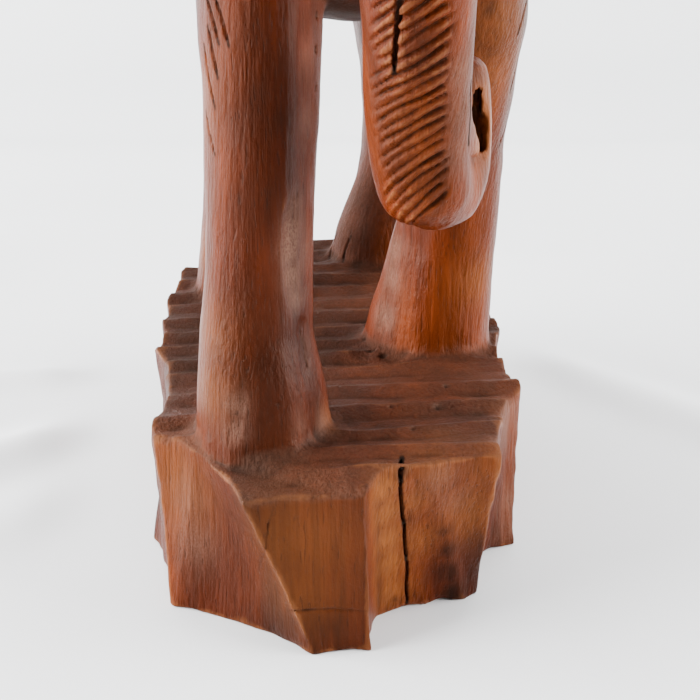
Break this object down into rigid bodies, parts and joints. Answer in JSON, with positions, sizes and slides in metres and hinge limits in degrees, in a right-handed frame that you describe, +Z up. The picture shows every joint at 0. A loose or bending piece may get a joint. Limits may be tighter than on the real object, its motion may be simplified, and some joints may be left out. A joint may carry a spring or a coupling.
{
  "type": "wooden elephant sculpture",
  "caption": "Walking elephant with its trunk down, carved with the rough-hewn rock plinth it stands on from one block of reddish brown hardwood.",
  "frame": {"origin": "on the plinth's flat underside, near its middle", "axes": "+Z up; the elephant walks towards -Y; its left side is +X"},
  "size_m": [0.1947, 0.3857, 0.418],
  "materials": {
    "oiled_hardwood": "oiled and rubbed, satin, open pored, darker in the cuts"
  },
  "bodies": {
    "root": {"elephant_carving": "oiled_hardwood"}
  },
  "joints": []
}
